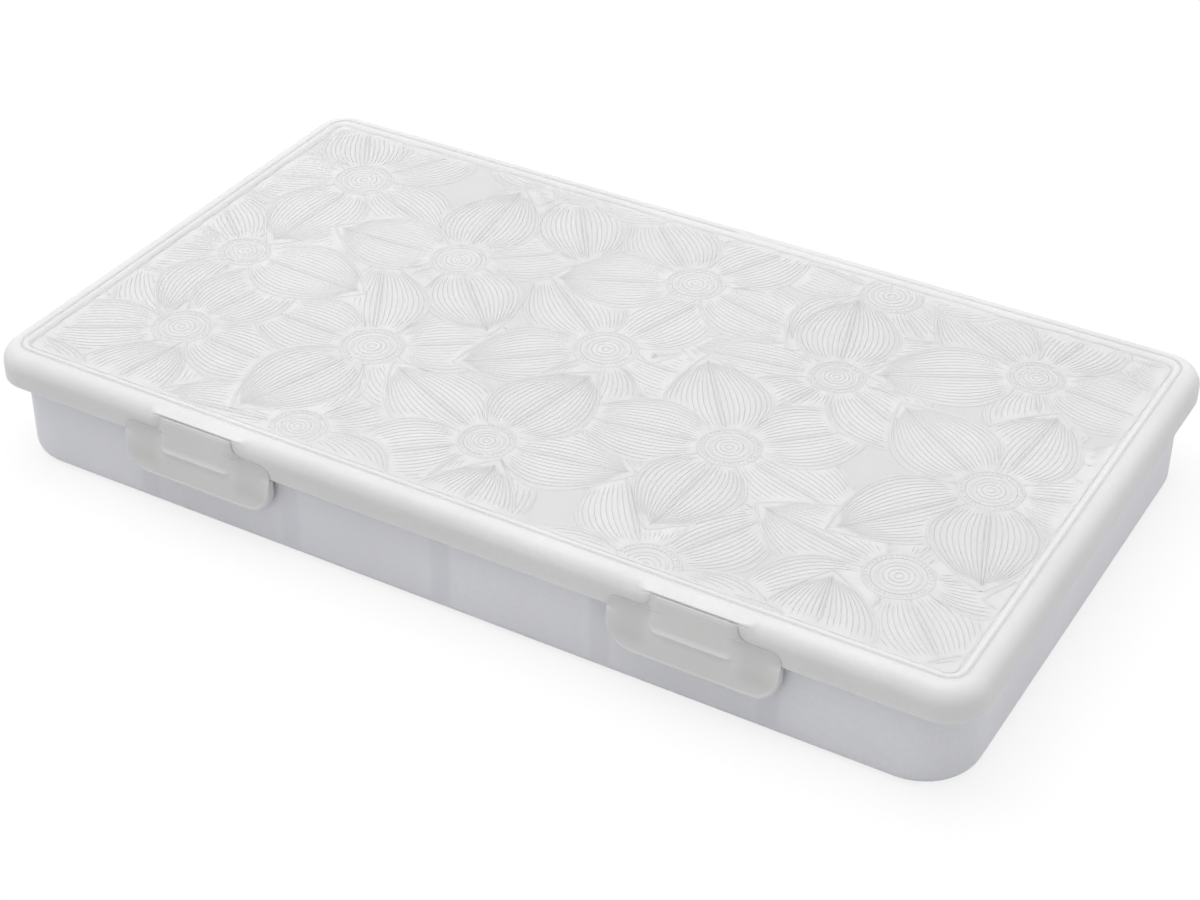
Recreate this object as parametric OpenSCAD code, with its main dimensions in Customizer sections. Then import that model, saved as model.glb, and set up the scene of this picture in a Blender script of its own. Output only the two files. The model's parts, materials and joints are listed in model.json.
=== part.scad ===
// Flat case for embroidery thread, moulded in milky polypropylene. A tray with five upright dividers is
// closed by a hinged lid with a sunk panel, and two flaps on the lid's front snap over catches on the tray.
// Millimetres, +Z up, front at -Y. The origin is the middle of the tray's underside.

/* [Lid] */
// Length of the lid, left to right
lid_length = 271; // [230:1:330]
// Width of the lid, front to back
lid_width = 155; // [120:1:200]
// Height of the closed box
box_height = 32; // [30:0.5:60]
// Height of the skirt, from its lower edge to the lid's top
skirt_height = 9; // [8:0.5:11]
// Wall of the lid
lid_wall = 1.5; // [1:0.1:2]
// Corner radius of the lid in plan
lid_corner = 10; // [8:0.5:14]
// Roundover between the lid's top and its skirt
lid_edge = 4.7; // [3.5:0.1:5]
// Distance from the lid's side in to the sunk panel
panel_inset = 7; // [6:0.5:7.5]
// Depth of the sunk panel below the rim
panel_drop = 1; // [0.4:0.1:1.4]

/* [Tray] */
// Gap between the lid's skirt and the tray's wall
skirt_gap = 1; // [0.6:0.1:1.6]
// Least gap between the tray's rim and the lid above it
rim_gap = 0.4; // [0.3:0.1:1]
// Wall of the tray
tray_wall = 1.5; // [1:0.1:2]
// Floor of the tray
tray_floor = 1.5; // [1:0.1:3]
// Corner radius of the tray in plan
tray_corner = 15; // [10:0.5:20]
// Roundover under the tray's edge
tray_edge = 3.5; // [2.5:0.1:5]

/* [Dividers] */
// Spacing of the dividers, which gives the width of a compartment
divider_pitch = 43.6; // [38:0.1:52]
// Thickness of a divider
divider_thickness = 1.6; // [1:0.1:2.4]
// Gap between the dividers' tops and the lid's panel
divider_headroom = 2.6; // [1:0.1:6]
// Thickness of each guide rib beside a divider
guide_rib = 1.5; // [1:0.1:2.5]
// Reach of the guide ribs from the tray's wall
guide_depth = 1.8; // [1:0.1:4]
// Width of the head at each end of a divider, which sits over the guide ribs
head_width = 7.5; // [7:0.1:12]
// Height of that head
head_height = 2.5; // [1.5:0.1:5]

/* [Latches] */
// Distance from the box's middle to each latch
latch_offset = 69; // [40:1:90]
// Width of the latch's neck, along its film hinge
neck_width = 22; // [14:0.5:30]
// Width of the finger tab below the neck
tab_width = 44; // [34:0.5:60]
// Reach of the finger tab below the lid's skirt
tab_reach = 10.6; // [8:0.1:12]
// Height of the finger tab up to its shoulders
tab_height = 14; // [12:0.1:14.4]
// Radius of the tab's lower corners
tab_corner = 7; // [3:0.1:8]
// Radius of the tab's shoulders, and of the hollow curves between them and the neck
tab_shoulder = 3; // [1.5:0.1:4]
// Height of the neck's lower ridge above the tab's lower edge
ridge_height = 8.6; // [7.5:0.1:10]
// Thickness of the finger tab
tab_thickness = 1; // [0.7:0.1:1.5]
// Thickness of the flap at its shoulders, where it thins out against the skirt
shoulder_thickness = 0.4; // [0.3:0.05:0.6]
// Thickness of the flange that turns inward round the tab's edge
flange_thickness = 0.8; // [0.6:0.1:1.2]
// Distance that the neck's lower ridge stands out from the tab
ridge_step = 0.6; // [0.2:0.1:1.2]
// Distance from the lid's top down to the film hinge
film_hinge_drop = 1.1; // [0.8:0.1:1.4]
// Width of the hook inside each flap and of its catch on the tray
hook_width = 18; // [8:0.5:26]

/* [Hinges] */
// Distance from the box's middle to each hinge
hinge_offset = 80; // [30:1:100]
// Length of the lid's clip on its pin
clip_length = 14; // [8:0.5:24]
// Thickness of each of the tray's hinge ears
ear_thickness = 3; // [2:0.1:5]
// Radius of the hinge pin
pin_radius = 1.5; // [1:0.05:1.6]
// Wall of the clip and of the ears round the pin
knuckle_wall = 1; // [0.8:0.1:1.4]

/* [Clearances] */
// Radial clearance of the hinge pin in its clip
pin_clearance = 0.05; // [0.02:0.01:0.1]
// Gap between moving pieces that pass each other
running_gap = 0.35; // [0.3:0.05:0.6]
// Gap on each side of a divider in its guides
guide_gap = 0.2; // [0.1:0.05:0.4]
// Gap between a latch flap and the skirt behind it
flap_gap = 0.15; // [0.1:0.05:0.3]

/* [Hidden] */
$fn = 72;

divider_count = 5;
lid_colour = [0.92, 0.92, 0.92];
latch_colour = [0.89, 0.89, 0.89];
tray_colour = [0.80, 0.81, 0.85];
divider_colour = [0.84, 0.85, 0.88];

// Depth that a feature is rooted in the wall that carries it
root = 0.5;

lid_half_width = lid_width / 2;
skirt_z = box_height - skirt_height;
inner_edge = lid_edge - lid_wall;
panel_z = box_height - panel_drop;

tray_inset = lid_wall + skirt_gap;
tray_length = lid_length - 2 * tray_inset;
tray_width = lid_width - 2 * tray_inset;
tray_half_width = tray_width / 2;
inner_half_width = tray_half_width - tray_wall;
// Height of the lid's underside over the tray's outer face, inside the lid's roundover
edge_over_rim = max(0, lid_edge - tray_inset);
rim_z = box_height - lid_edge + sqrt(inner_edge * inner_edge - edge_over_rim * edge_over_rim) - rim_gap;
inner_foot = max(0.5, tray_edge - tray_wall);

divider_top = panel_z - lid_wall - divider_headroom;
guide_top = divider_top - head_height - guide_gap;
slot_width = divider_thickness + 2 * guide_gap;
divider_length = 2 * (inner_half_width - guide_gap);

knuckle_radius = pin_radius + pin_clearance + knuckle_wall;
hinge_y = lid_half_width + knuckle_radius + running_gap;
hinge_z = skirt_z + 0.5;
clip_mouth = 1.55 * pin_radius;

film_hinge_y = -lid_half_width - flap_gap;
film_hinge_z = box_height - film_hinge_drop;
tab_low = skirt_z - tab_reach;
ridge_z = tab_low + ridge_height;
hook_gap = 0.2;
hook_z = ridge_z - 4.4;
hook_height = 1.4;
catch_reach = skirt_gap + 0.1;
hook_tip = -tray_half_width - catch_reach - hook_gap;

// Block that reaches out from the axis, with its lower outer corner rounded
module footed_block(reach, low, high, r) {
    translate([0, low + r]) square([reach, high - low - r]);
    translate([0, low]) square([reach - r, r]);
    translate([reach - r, low + r]) intersection() {
        circle(r);
        translate([0, -r]) square(r);
    }
}

// Block that reaches out from the axis, with its upper outer corner rounded
module capped_block(reach, low, high, r) {
    translate([0, low]) square([reach, high - low - r]);
    translate([0, high - r]) square([reach - r, r]);
    translate([reach - r, high - r]) intersection() {
        circle(r);
        square(r);
    }
}

// Carries a section round a rounded rectangle. The section's x runs outward from the corners' centres,
// and its y is the height.
module around(length, width, radius) {
    half_l = length / 2 - radius;
    half_w = width / 2 - radius;
    for (side = [0, 1]) {
        mirror([0, side, 0]) translate([-half_l, half_w, 0]) rotate([90, 0, 90])
            linear_extrude(2 * half_l) children();
        mirror([side, 0, 0]) translate([half_l, half_w, 0]) rotate([90, 0, 0])
            linear_extrude(2 * half_w) children();
        for (end = [0, 1])
            mirror([0, side, 0]) mirror([end, 0, 0]) translate([half_l, half_w, 0])
                rotate_extrude(angle = 90) children();
    }
}

// Plate between the corners' centres, which the swept section borders
module middle_plate(length, width, radius, low, high) {
    translate([radius - length / 2, radius - width / 2, low])
        cube([length - 2 * radius, width - 2 * radius, high - low]);
}

// Bar along X whose section is given as points of Y and Z
module bar(length, points) {
    translate([-length / 2, 0, 0]) rotate([90, 0, 90]) linear_extrude(length) polygon(points);
}

// Rod along X
module rod(length, r) {
    rotate([0, 90, 0]) cylinder(h = length, r = r, center = true);
}

// Puts a copy on each side of the box's middle plane
module both_sides() {
    for (side = [0, 1]) mirror([side, 0, 0]) children();
}

module tray_section() {
    difference() {
        footed_block(tray_corner, 0, rim_z, tray_edge);
        footed_block(tray_corner - tray_wall, tray_floor, rim_z + 1, inner_foot);
    }
}

// Pair of ribs on each long wall that holds one divider
module divider_guide() {
    rib_y = inner_half_width - guide_depth;
    for (side = [0, 1]) mirror([0, side, 0])
        for (end = [0, 1]) mirror([end, 0, 0])
            translate([slot_width / 2, rib_y, tray_floor - root])
                cube([guide_rib, guide_depth + root, guide_top - tray_floor + root]);
}

// Two ears under the lid's skirt, with the pin moulded between them
module hinge_ears() {
    reach = clip_length / 2 + running_gap;
    wall_y = tray_half_width - root;
    top = skirt_z - running_gap;
    for (end = [-1, 1]) translate([end * (reach + ear_thickness / 2), 0, 0]) {
        bar(ear_thickness, [[wall_y, top], [wall_y, top - 6], [hinge_y, hinge_z - knuckle_radius],
                            [hinge_y, top]]);
        translate([0, hinge_y, hinge_z]) rod(ear_thickness, knuckle_radius);
    }
    translate([0, hinge_y, hinge_z]) rod(2 * reach + ear_thickness, pin_radius);
}

// Rib on the front wall that the flap's hook snaps under
module catch() {
    face = -tray_half_width;
    low = hook_z + hook_height + 0.3;
    bar(hook_width, [[face + root, low - 0.2], [face - catch_reach, low], [face - catch_reach, low + 0.8],
                     [face + root, low + 2.6]]);
}

module tray() {
    color(tray_colour) {
        around(tray_length, tray_width, tray_corner) tray_section();
        middle_plate(tray_length, tray_width, tray_corner, 0, tray_floor);
        for (i = [1 : divider_count]) translate([divider_x(i), 0, 0]) divider_guide();
        both_sides() translate([hinge_offset, 0, 0]) hinge_ears();
        both_sides() translate([latch_offset, 0, 0]) catch();
    }
}

module lid_section() {
    panel_reach = lid_corner - panel_inset;
    difference() {
        capped_block(lid_corner, skirt_z, box_height, lid_edge);
        capped_block(lid_corner - lid_wall, skirt_z - 1, box_height - lid_wall, inner_edge);
        translate([0, panel_z]) square([panel_reach, panel_drop + 1]);
    }
    translate([0, panel_z - lid_wall]) square([panel_reach + lid_wall, lid_wall]);
}

// Shelf that squares off the lid's roundover where a latch flap hangs
module latch_shelf() {
    face = -lid_half_width;
    centre_y = face + lid_edge;
    centre_z = box_height - lid_edge;
    mid_wall = lid_edge - lid_wall / 2;
    bar(neck_width, [[face, centre_z - root], [face, film_hinge_z],
                     [centre_y - mid_wall * sin(20), centre_z + lid_edge * cos(20)],
                     [centre_y - mid_wall * sin(20), centre_z + mid_wall * cos(20)],
                     [centre_y - mid_wall * sin(50), centre_z + mid_wall * cos(50)],
                     [centre_y - mid_wall, centre_z - root]]);
}

// Clip on the skirt's back that snaps over the hinge pin, with its mouth below
module hinge_clip() {
    difference() {
        union() {
            translate([0, hinge_y, hinge_z]) rod(clip_length, knuckle_radius);
            bar(clip_length, [[lid_half_width - root, hinge_z], [hinge_y, hinge_z],
                              [hinge_y, hinge_z + knuckle_radius],
                              [lid_half_width - root, hinge_z + knuckle_radius]]);
        }
        translate([0, hinge_y, hinge_z]) rod(clip_length + 2, pin_radius + pin_clearance);
        translate([-clip_length / 2 - 1, hinge_y - clip_mouth / 2, hinge_z - knuckle_radius - 1])
            cube([clip_length + 2, clip_mouth, knuckle_radius + 1]);
    }
}

module lid() {
    color(lid_colour) {
        around(lid_length, lid_width, lid_corner) lid_section();
        middle_plate(lid_length, lid_width, lid_corner, panel_z - lid_wall, panel_z);
        both_sides() translate([latch_offset, 0, 0]) latch_shelf();
        both_sides() translate([hinge_offset, 0, 0]) hinge_clip();
    }
}

// Outline of the finger tab, with large round corners below and smaller ones at its shoulders
module tab_outline(inset) {
    half = tab_width / 2 - inset;
    low = tab_low + inset;
    high = tab_low + tab_height - inset;
    r = tab_corner - inset;
    s = tab_shoulder - inset;
    translate([-half, low + r]) square([2 * half, high - s - low - r]);
    translate([r - half, low]) square([2 * (half - r), r]);
    translate([s - half, high - s]) square([2 * (half - s), s]);
    for (end = [-1, 1]) {
        translate([end * (half - r), low + r]) circle(r);
        translate([end * (half - s), high - s]) circle(s);
    }
}

// Hollow curves between the neck and the tab's shoulders
module neck_curves() {
    high = tab_low + tab_height;
    r = tab_shoulder;
    for (end = [0, 1]) mirror([end, 0]) difference() {
        translate([neck_width / 2 - root, high - root]) square(r + root);
        translate([neck_width / 2 + r, high + r]) circle(r);
    }
}

// Flange round the tab's edge, which turns inward below the skirt
module tab_flange() {
    translate([0, hook_tip, 0]) rotate([90, 0, 0]) linear_extrude(hook_tip - film_hinge_y + 0.1) difference() {
        tab_outline(0);
        tab_outline(flange_thickness);
        translate([-tab_width, skirt_z - 0.5]) square([2 * tab_width, box_height]);
    }
}

// Latch flap at the box's middle: a neck below the film hinge, a finger tab with its flange, and a hook
module latch_flap() {
    inner = film_hinge_y;
    outer = inner - tab_thickness;
    ridge = outer - ridge_step;
    top = tab_low + tab_height;
    bar(neck_width, [[inner, hook_z], [inner, film_hinge_z], [inner - 0.4, film_hinge_z],
                     [ridge, ridge_z], [outer, ridge_z - ridge_step], [outer, hook_z]]);
    intersection() {
        translate([0, inner, 0]) rotate([90, 0, 0]) linear_extrude(tab_thickness) tab_outline(0);
        bar(tab_width + 2, [[inner, tab_low - 1], [inner, top + 1], [inner - shoulder_thickness, top + 1],
                            [inner - shoulder_thickness, top], [outer, skirt_z - 1], [outer, tab_low - 1]]);
    }
    translate([0, inner, 0]) rotate([90, 0, 0]) linear_extrude(shoulder_thickness) neck_curves();
    tab_flange();
    // Raised lip along the tab's edge, below the ridge
    translate([0, outer + 0.1, 0]) rotate([90, 0, 0]) linear_extrude(0.3) difference() {
        tab_outline(0);
        tab_outline(0.9);
        translate([-tab_width, ridge_z - 3]) square([2 * tab_width, box_height]);
    }
    bar(hook_width, [[inner - 0.3, hook_z - 1], [hook_tip, hook_z], [hook_tip, hook_z + hook_height],
                     [inner - 0.3, hook_z + hook_height]]);
}

module latch_left() {
    color(latch_colour) translate([-latch_offset, 0, 0]) latch_flap();
}

module latch_right() {
    color(latch_colour) translate([latch_offset, 0, 0]) latch_flap();
}

function divider_x(i) = (i - (divider_count + 1) / 2) * divider_pitch;

// Plate across the tray, with a head at each end that sits over the guide ribs
module divider(i) {
    low = tray_floor + 0.1;
    half = divider_length / 2;
    foot = inner_foot;
    color(divider_colour) translate([divider_x(i), 0, 0]) {
        bar(divider_thickness, [[-half, low + foot], [foot - half, low], [half - foot, low],
                                [half, low + foot], [half, divider_top], [-half, divider_top]]);
        for (end = [-1, 1])
            translate([-head_width / 2, end * (half - guide_depth / 2) - guide_depth / 2,
                       divider_top - head_height])
                cube([head_width, guide_depth, head_height]);
    }
}

tray();
lid();
latch_left();
latch_right();
divider(1);  // divider_1
divider(2);  // divider_2
divider(3);  // divider_3
divider(4);  // divider_4
divider(5);  // divider_5
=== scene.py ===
"""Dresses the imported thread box: a milky plastic tray, dividers, an embossed lid and two latch flaps."""

import json
import math

import bmesh
import bpy
import numpy as np
from mathutils import Matrix, Vector


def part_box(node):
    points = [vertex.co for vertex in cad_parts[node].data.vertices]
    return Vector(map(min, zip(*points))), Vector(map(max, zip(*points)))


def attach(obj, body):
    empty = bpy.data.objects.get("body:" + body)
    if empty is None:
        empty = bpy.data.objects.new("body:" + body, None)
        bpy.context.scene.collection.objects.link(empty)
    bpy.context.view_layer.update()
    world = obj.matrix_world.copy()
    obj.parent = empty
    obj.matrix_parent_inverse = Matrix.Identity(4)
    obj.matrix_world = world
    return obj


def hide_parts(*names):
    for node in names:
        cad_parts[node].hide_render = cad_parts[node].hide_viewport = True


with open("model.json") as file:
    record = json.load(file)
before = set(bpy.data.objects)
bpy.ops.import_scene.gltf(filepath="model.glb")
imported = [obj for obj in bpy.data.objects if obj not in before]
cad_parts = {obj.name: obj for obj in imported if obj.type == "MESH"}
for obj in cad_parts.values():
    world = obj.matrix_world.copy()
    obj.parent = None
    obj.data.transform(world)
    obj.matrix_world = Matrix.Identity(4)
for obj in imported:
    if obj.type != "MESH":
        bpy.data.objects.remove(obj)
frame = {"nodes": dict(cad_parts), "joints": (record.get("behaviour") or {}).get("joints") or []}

bl_info = {
    "name": "Thread Box Dresser",
    "version": (1, 0, 0),
    "blender": (4, 5, 0),
    "location": "View3D > Sidebar > Thread Box",
    "description": "Builds the moulded pieces, finishes and stage of a flat thread box round its frame",
    "category": "Object",
}

MM = 0.001

LID_LOW, LID_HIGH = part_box("lid")
TRAY_LOW, TRAY_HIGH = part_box("tray")
FLAP_LOW, FLAP_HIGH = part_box("latch_right")
DIVIDER_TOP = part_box("divider_3")[1].z
JOINT_PLACES = {joint["name"]: joint["pos_m"] for joint in frame["joints"]}
HINGE = JOINT_PLACES["lid_hinge"]
FILM_HINGE = JOINT_PLACES["latch_right_hinge"]
DIVIDERS = ["divider_%d" % number for number in range(1, 6)]

HALF_LENGTH = LID_HIGH.x
HALF_WIDTH = -LID_LOW.y
TRAY_INSET = LID_HIGH.x - TRAY_HIGH.x
TRAY_HALF_WIDTH = HALF_WIDTH - TRAY_INSET
FLAP_HALF = (FLAP_HIGH.x - FLAP_LOW.x) / 2

# Small sizes that no user would change: half a divider's thickness, the depth that a part is rooted in
# what carries it, the gap beside what moves, the hook's place and height, and the rows of a flap's mesh
DIVIDER_HALF = 0.8 * MM
EMBEDDED = 0.5 * MM
RUNNING_GAP = 0.35 * MM
HOOK_DROP = 4.4 * MM
HOOK_HEIGHT = 1.4 * MM
FLAP_ROW = 0.22 * MM

# Numbers of the pattern: leaves round a seed head, their tones, the tone between them, and head sizes
LEAVES_ROUND_A_HEAD = 5
LEAF_TONES = (0.0, 0.55, 0.2, 0.9, 0.4)
PLAIN_TONE = 0.7
HEAD_SIZES = (1.0, 0.86, 0.94)

# Scales of the plastic's clouds, specks and moulded grain, its refraction, and the lamp's place
CLOUD_SCALE = 26.0
SPECKLE_SCALE = 900.0
GRAIN_SCALE = 2600.0
PLASTIC_IOR = 1.49
LAMP_PLACE = (-0.25, 0.05, 1.5)


def length(name, default, description):
    """A size of the box, in metres."""
    return bpy.props.FloatProperty(name=name, description=description, default=default,
                                   precision=5, subtype="DISTANCE", unit="LENGTH")


def fraction(name, default, description):
    """A plain number from 0 to 1."""
    return bpy.props.FloatProperty(name=name, description=description, default=default,
                                   min=0.0, max=1.0, subtype="FACTOR")


def count(name, default, description):
    """A number of like things."""
    return bpy.props.IntProperty(name=name, description=description, default=default, min=1)


def rotation(name, default, description):
    """An angle, in radians."""
    return bpy.props.FloatProperty(name=name, description=description, default=default, unit="ROTATION")


def colour(name, default, description):
    """A colour in linear light."""
    return bpy.props.FloatVectorProperty(name=name, description=description, default=default,
                                         size=3, min=0.0, max=1.0, subtype="COLOR")


class ThreadBoxLidSizes(bpy.types.PropertyGroup):
    """Sizes of the lid's section."""
    wall: length("Wall", 1.5 * MM, "Thickness of the lid's wall")
    corner: length("Corner", 10 * MM, "Corner radius in plan")
    roundover: length("Roundover", 4.7 * MM, "Radius between the top and the skirt")
    skirt: length("Skirt", 9 * MM, "Height of the skirt below the lid's top")
    panel_inset: length("Panel inset", 7 * MM, "Distance from the lid's side to the sunk panel")
    panel_drop: length("Panel drop", 1 * MM, "Depth of the sunk panel below the rim")
    bead_width: length("Bead width", 0.5 * MM, "Half the width of the two beads round the panel")
    bead_height: length("Bead height", 0.15 * MM, "Height of the outer bead above the rim")
    lip: length("Lip", 0.35 * MM, "Rounding of the skirt's lower edge")
    shelf_width: length("Shelf width", 22 * MM, "Width of the square shelf above each latch")


class ThreadBoxTraySizes(bpy.types.PropertyGroup):
    """Sizes of the tray."""
    wall: length("Wall", 1.5 * MM, "Thickness of the wall and the floor")
    corner: length("Corner", 15 * MM, "Corner radius in plan")
    roundover: length("Roundover", 3.5 * MM, "Radius under the tray's edge")
    rim_radius: length("Rim radius", 0.4 * MM, "Rounding of the rim")
    guide_rib: length("Guide rib", 1.5 * MM, "Thickness of a guide rib")
    guide_depth: length("Guide depth", 1.8 * MM, "Reach of a guide rib from the wall")
    guide_gap: length("Guide gap", 0.2 * MM, "Gap on each side of a divider")
    head_height: length("Head height", 2.5 * MM, "Height of a divider's head over the guides")
    catch_width: length("Catch width", 18 * MM, "Width of the catch that a latch snaps under")
    ear: length("Ear", 3 * MM, "Thickness of a hinge ear")
    clip: length("Clip", 14 * MM, "Length of the lid's clip between two ears")
    pin: length("Pin", 1.5 * MM, "Radius of the hinge pin")
    knuckle: length("Knuckle", 2.55 * MM, "Outer radius of the ears and the clip")
    hinge_offset: length("Hinge offset", 80 * MM, "Distance from the middle to each hinge")


class ThreadBoxLatchSizes(bpy.types.PropertyGroup):
    """Sizes of the latch flaps."""
    neck_width: length("Neck width", 22 * MM, "Width of the neck below the film hinge")
    tab_height: length("Tab height", 14 * MM, "Height of the finger tab up to its shoulders")
    tab_corner: length("Tab corner", 7 * MM, "Radius of the tab's lower corners")
    tab_shoulder: length("Tab shoulder", 3 * MM, "Radius of the tab's shoulders")
    tab_thickness: length("Tab thickness", 1 * MM, "Thickness of the finger tab")
    ridge_height: length("Ridge height", 8.6 * MM, "Height of the neck's ridge above the tab's edge")
    ridge_step: length("Ridge step", 0.6 * MM, "Distance that the ridge stands out")
    bead: length("Bead", 0.2 * MM, "Height of the bead along the tab's edge")
    flange: length("Flange", 0.9 * MM, "Thickness of the flange that turns inward round the tab")
    crease: length("Crease", 0.4 * MM, "Height of the groove along the film hinge")


class ThreadBoxEmbossSizes(bpy.types.PropertyGroup):
    """Sizes of the lid's generic pattern of seed heads and broad leaves."""
    column_pitch: length("Column pitch", 52 * MM, "Distance between columns of seed heads")
    row_pitch: length("Row pitch", 45 * MM, "Distance between seed heads of a column")
    seed_head: length("Seed head", 8.2 * MM, "Radius of a seed head")
    leaf: length("Leaf", 39 * MM, "Length of a leaf")
    leaf_width: length("Leaf width", 27 * MM, "Width of a leaf")
    swell: length("Swell", 0.2 * MM, "Height to which a leaf swells")
    outline_width: length("Outline width", 1.0 * MM, "Width of the ridge round a leaf")
    outline_height: length("Outline height", 0.24 * MM, "Height of that ridge")
    vein_width: length("Vein width", 0.55 * MM, "Width of a vein's ridge")
    vein_height: length("Vein height", 0.13 * MM, "Height of a vein's ridge")
    vein_count: count("Veins", 18, "Veins that run along one leaf")
    grid_step: length("Grid step", 0.72 * MM, "Spacing of the panel's mesh")


class ThreadBoxFinish(bpy.types.PropertyGroup):
    """Colours and surface of the plastic. Some colours are lighter or darker copies of the lid's plastic, and
    two are painted shades.
    """
    lid_colour: colour("Lid", (0.755, 0.755, 0.755), "Milky plastic of the lid")
    # Painted light: a lighter copy of the lid's plastic, so that the sunk top looks lit
    painted_light_for_panel: colour("Panel", (0.88, 0.88, 0.88), "Colour of the lid's sunk panel")
    # Painted highlight: the ridges are the lid's plastic made whiter, so that their crests look lit
    painted_highlight_on_ridges: colour("Ridges", (0.97, 0.97, 0.97), "Whiter plastic of the embossed ridges")
    # Painted shade: the latches are the lid's plastic made a little darker, for their shaded fronts
    painted_shade_for_latches: colour("Latches", (0.72, 0.72, 0.715), "Milky plastic of the latch flaps")
    tray_colour: colour("Tray", (0.82, 0.825, 0.88), "Milky plastic of the tray, a little blue")
    divider_colour: colour("Dividers", (0.78, 0.79, 0.82), "Milky plastic of the dividers")
    roughness: fraction("Roughness", 0.42, "Roughness of the satin surface")
    # Painted shade: lightness of the tray's wall under the painted bands at the guides
    painted_band_lightness: fraction("Band shade", 0.92, "Lightness of the wall where a guide shows through it")
    # Painted shade: lightness of the latches' flanks under their painted shade
    painted_flank_lightness: fraction("Flank shade", 0.89, "Lightness of the latches where two walls overlap")


class ThreadBoxStage(bpy.types.PropertyGroup):
    """Floor, light and camera."""
    floor_size: length("Floor", 6.0, "Side of the square floor")
    floor_colour: colour("Floor colour", (0.9, 0.9, 0.9), "Pale floor under the box")
    bounce: fraction("Bounce", 0.72, "Share of the light that the floor throws back at the box")
    sky: fraction("Sky", 0.62, "Strength of the soft light from all round")
    lamp_power: bpy.props.FloatProperty(name="Lamp", description="Power of the soft lamp overhead",
                                        default=16.5, min=0.0, unit="POWER")
    lamp_size: length("Lamp size", 1.6, "Side of the soft lamp")
    camera_x: length("Camera X", 262.4 * MM, "Camera's place to the right of the box")
    camera_y: length("Camera Y", -458.4 * MM, "Camera's place along the box's depth")
    camera_z: length("Camera Z", 373.4 * MM, "Camera's height")
    yaw: rotation("Yaw", -0.519, "Turn of the view from straight ahead")
    pitch: rotation("Pitch", 0.613, "Tilt of the view below the horizon")
    roll: rotation("Roll", 0.008, "Roll of the camera")
    focal_length: bpy.props.FloatProperty(name="Focal length", description="Lens, on a 36 mm sensor",
                                          default=74.2, min=1.0, unit="CAMERA")


class ThreadBoxSettings(bpy.types.PropertyGroup):
    """Everything that a user may change, by piece."""
    lid: bpy.props.PointerProperty(type=ThreadBoxLidSizes, name="Lid", description="Lid sizes")
    tray: bpy.props.PointerProperty(type=ThreadBoxTraySizes, name="Tray", description="Tray sizes")
    latch: bpy.props.PointerProperty(type=ThreadBoxLatchSizes, name="Latch", description="Latch sizes")
    emboss: bpy.props.PointerProperty(type=ThreadBoxEmbossSizes, name="Emboss", description="Pattern")
    finish: bpy.props.PointerProperty(type=ThreadBoxFinish, name="Finish", description="Colours")
    stage: bpy.props.PointerProperty(type=ThreadBoxStage, name="Stage", description="Stage")


def new_object(name, mesh):
    """Links a mesh into the scene as an object."""
    piece = bpy.data.objects.new(name, mesh)
    bpy.context.scene.collection.objects.link(piece)
    return piece


def mesh_of(name, points, faces):
    """A mesh with its normals turned outward."""
    mesh = bpy.data.meshes.new(name)
    mesh.from_pydata([tuple(p) for p in points], [], [tuple(f) for f in faces])
    turn_outward(mesh)
    return mesh


def turn_outward(mesh):
    """Makes every face of a closed mesh look out."""
    shape = bmesh.new()
    shape.from_mesh(mesh)
    bmesh.ops.recalc_face_normals(shape, faces=shape.faces)
    shape.to_mesh(mesh)
    shape.free()


def smooth(mesh, limit=math.radians(32)):
    """Smooth shading, with edges sharper than the limit kept crisp."""
    shape = bmesh.new()
    shape.from_mesh(mesh)
    for face in shape.faces:
        face.smooth = True
    for edge in shape.edges:
        edge.smooth = len(edge.link_faces) == 2 and edge.calc_face_angle(0.0) < limit
    shape.to_mesh(mesh)
    shape.free()


def rounded(corners, steps=10):
    """Points of a line whose corners, each (x, z, radius), are rounded with arcs."""
    line = []
    for index, (x, z, radius) in enumerate(corners):
        here = Vector((x, z))
        if radius <= 0 or index in (0, len(corners) - 1):
            line.append(tuple(here))
            continue
        back = (Vector(corners[index - 1][:2]) - here).normalized()
        ahead = (Vector(corners[index + 1][:2]) - here).normalized()
        half = back.angle(ahead) / 2
        trim = radius / math.tan(half)
        centre = here + (back + ahead).normalized() * (radius / math.sin(half))
        start = here + back * trim - centre
        end = here + ahead * trim - centre
        sweep = start.angle_signed(end)
        for step in range(steps + 1):
            spoke = start.copy()
            spoke.rotate(Matrix.Rotation(-sweep * step / steps, 2))
            line.append(tuple(centre + spoke))
    return line


def tube_faces(turn, rows):
    """Faces of a tube that joins rows of rings, each of as many points, with a flat cap on both ends."""
    sides = [(row * turn + i, row * turn + (i + 1) % turn,
              (row + 1) * turn + (i + 1) % turn, (row + 1) * turn + i)
             for row in range(rows - 1) for i in range(turn)]
    return sides + [tuple(range(turn)), tuple((rows - 1) * turn + i for i in range(turn))]


def grid_faces(columns, rows, start=0):
    """Faces of a grid of points that lie row by row."""
    return [(start + j * columns + i, start + j * columns + i + 1,
             start + (j + 1) * columns + i + 1, start + (j + 1) * columns + i)
            for j in range(rows - 1) for i in range(columns - 1)]


def grid_border(columns, rows):
    """The points round a grid's edge, in order."""
    return ([i for i in range(columns)] + [j * columns + columns - 1 for j in range(1, rows)]
            + [(rows - 1) * columns + i for i in range(columns - 2, -1, -1)]
            + [j * columns for j in range(rows - 2, 0, -1)])


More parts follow.
